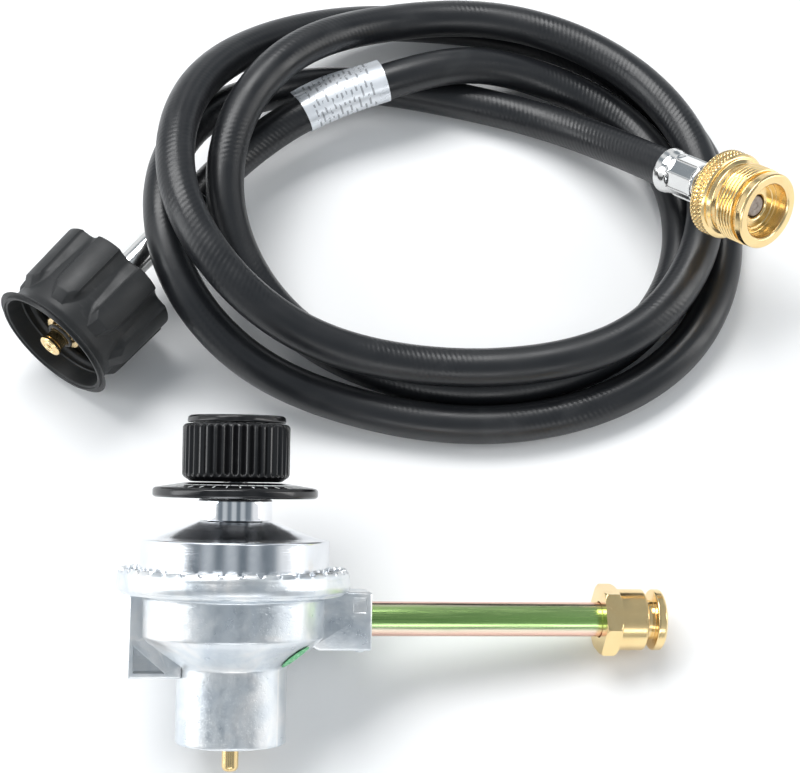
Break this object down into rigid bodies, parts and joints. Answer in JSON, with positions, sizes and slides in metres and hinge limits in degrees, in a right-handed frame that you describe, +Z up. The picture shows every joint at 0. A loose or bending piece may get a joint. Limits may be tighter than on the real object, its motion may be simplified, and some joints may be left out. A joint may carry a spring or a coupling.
{
  "type": "propane regulator hose",
  "caption": "Loosely coiled rubber propane hose with a black tank nut and a brass screw connector, beside a separate gas regulator with a control knob and an outlet tube.",
  "frame": {"origin": "middle of the table footprint of the fittings and the regulator, at table height", "axes": "+X along the outlet tube, +Y from the regulator towards the hose, +Z up"},
  "size_m": [0.2546, 0.2797, 0.0663],
  "materials": {
    "hose_rubber": "extruded black rubber with a faint braid telegraphing through",
    "seal_rubber": "grey-beige moulded rubber",
    "diaphragm_rubber": "fabric-backed black rubber",
    "label_foil": null,
    "black_plastic": "matte moulded black plastic",
    "bushing_plastic": "moulded black plastic",
    "gloss_black_plastic": "gloss black plastic",
    "brass": "machined yellow brass",
    "nickel_plate": "bright nickel plate",
    "chrome_plate": "polished chrome plate",
    "cast_zinc": "bright mottled die-cast zinc",
    "yellow_zinc_plate": "yellow-zinc plated steel with green and pink iridescence",
    "spring_steel": "bright drawn steel",
    "green_sticker": "green oval film sticker"
  },
  "bodies": {
    "hose_set": {"hose": "hose_rubber", "hose_label": "label_foil", "inlet_nipple": "brass", "nipple_seal": "seal_rubber", "check_spring": "spring_steel", "stem_tube": "nickel_plate", "nut_end_ferrule": "nickel_plate", "connector_ferrule": "nickel_plate", "connector_tailpiece": "nickel_plate"},
    "tank_nut": {"coupling_nut": "black_plastic", "thermal_bushing": "bushing_plastic"},
    "check_valve": {"check_poppet": "brass"},
    "connector": {"connector_body": "brass", "swivel_retainer": "spring_steel", "swivel_seal": "seal_rubber", "connector_spring": "spring_steel"},
    "connector_valve": {"connector_poppet": "seal_rubber"},
    "regulator": {"regulator_body": "cast_zinc", "regulator_bonnet": "cast_zinc", "stem_sleeve": "chrome_plate", "diaphragm": "diaphragm_rubber", "main_spring": "spring_steel", "plug_spring": "spring_steel", "valve_seat": "brass", "inlet_pin": "brass", "inlet_gasket": "diaphragm_rubber", "outlet_tube": "yellow_zinc_plate", "outlet_fitting": "brass", "outlet_jet": "brass", "inspection_sticker": "green_sticker"},
    "diaphragm_set": {"diaphragm_plate": "spring_steel", "diaphragm_rivet": "brass"},
    "valve": {"valve_plug": "seal_rubber"},
    "knob": {"control_knob": "gloss_black_plastic", "knob_cap": "gloss_black_plastic", "dial_skirt": "gloss_black_plastic", "control_spindle": "spring_steel"},
    "adjuster": {"spring_adjuster": "brass"}
  },
  "joints": [
    {"name": "nut_spin", "type": "hinge", "parent": "hose_set", "child": "tank_nut", "pos_m": [-0.0921, 0.0563, 0.0223], "axis": [-0.5855, -0.8059, 0.0872], "continuous": true},
    {"name": "check_valve_travel", "type": "slide", "parent": "hose_set", "child": "check_valve", "axis": [-0.5855, -0.8059, 0.0872], "range_m": [-0.0015, 0], "stiffness_N_per_m": 150, "springref_m": 0.002},
    {"name": "connector_swivel", "type": "hinge", "parent": "hose_set", "child": "connector", "pos_m": [0.10518, 0.07945, 0.03927], "axis": [0.5908, -0.6562, 0.4695], "continuous": true},
    {"name": "connector_valve_travel", "type": "slide", "parent": "connector", "child": "connector_valve", "axis": [0.5908, -0.6562, 0.4695], "range_m": [-0.0015, 0], "stiffness_N_per_m": 150, "springref_m": 0.002},
    {"name": "regulator_lift", "type": "slide", "parent": "hose_set", "child": "regulator", "axis": [0, 0, 1], "range_m": [0, 0.1]},
    {"name": "diaphragm_travel", "type": "slide", "parent": "regulator", "child": "diaphragm_set", "axis": [0.0161, 0.9219, 0.387], "range_m": [-0.0012, 0], "stiffness_N_per_m": 600, "springref_m": 0.001},
    {"name": "valve_travel", "type": "slide", "parent": "regulator", "child": "valve", "axis": [0.0161, 0.9219, 0.387], "range_m": [-0.0012, 0]},
    {"name": "knob_turn", "type": "hinge", "parent": "regulator", "child": "knob", "pos_m": [-0.04764, -0.02892, 0.0428], "axis": [0.0161, 0.9219, 0.387], "range_deg": [0, 270]},
    {"name": "adjuster_travel", "type": "slide", "parent": "regulator", "child": "adjuster", "axis": [0.0161, 0.9219, 0.387], "range_m": [-0.0023, 0]}
  ],
  "couplings": [
    {"joint": "valve_travel", "follows": "diaphragm_travel", "ratio": 1},
    {"joint": "adjuster_travel", "follows": "knob_turn", "m_per_rad": -0.00048}
  ]
}
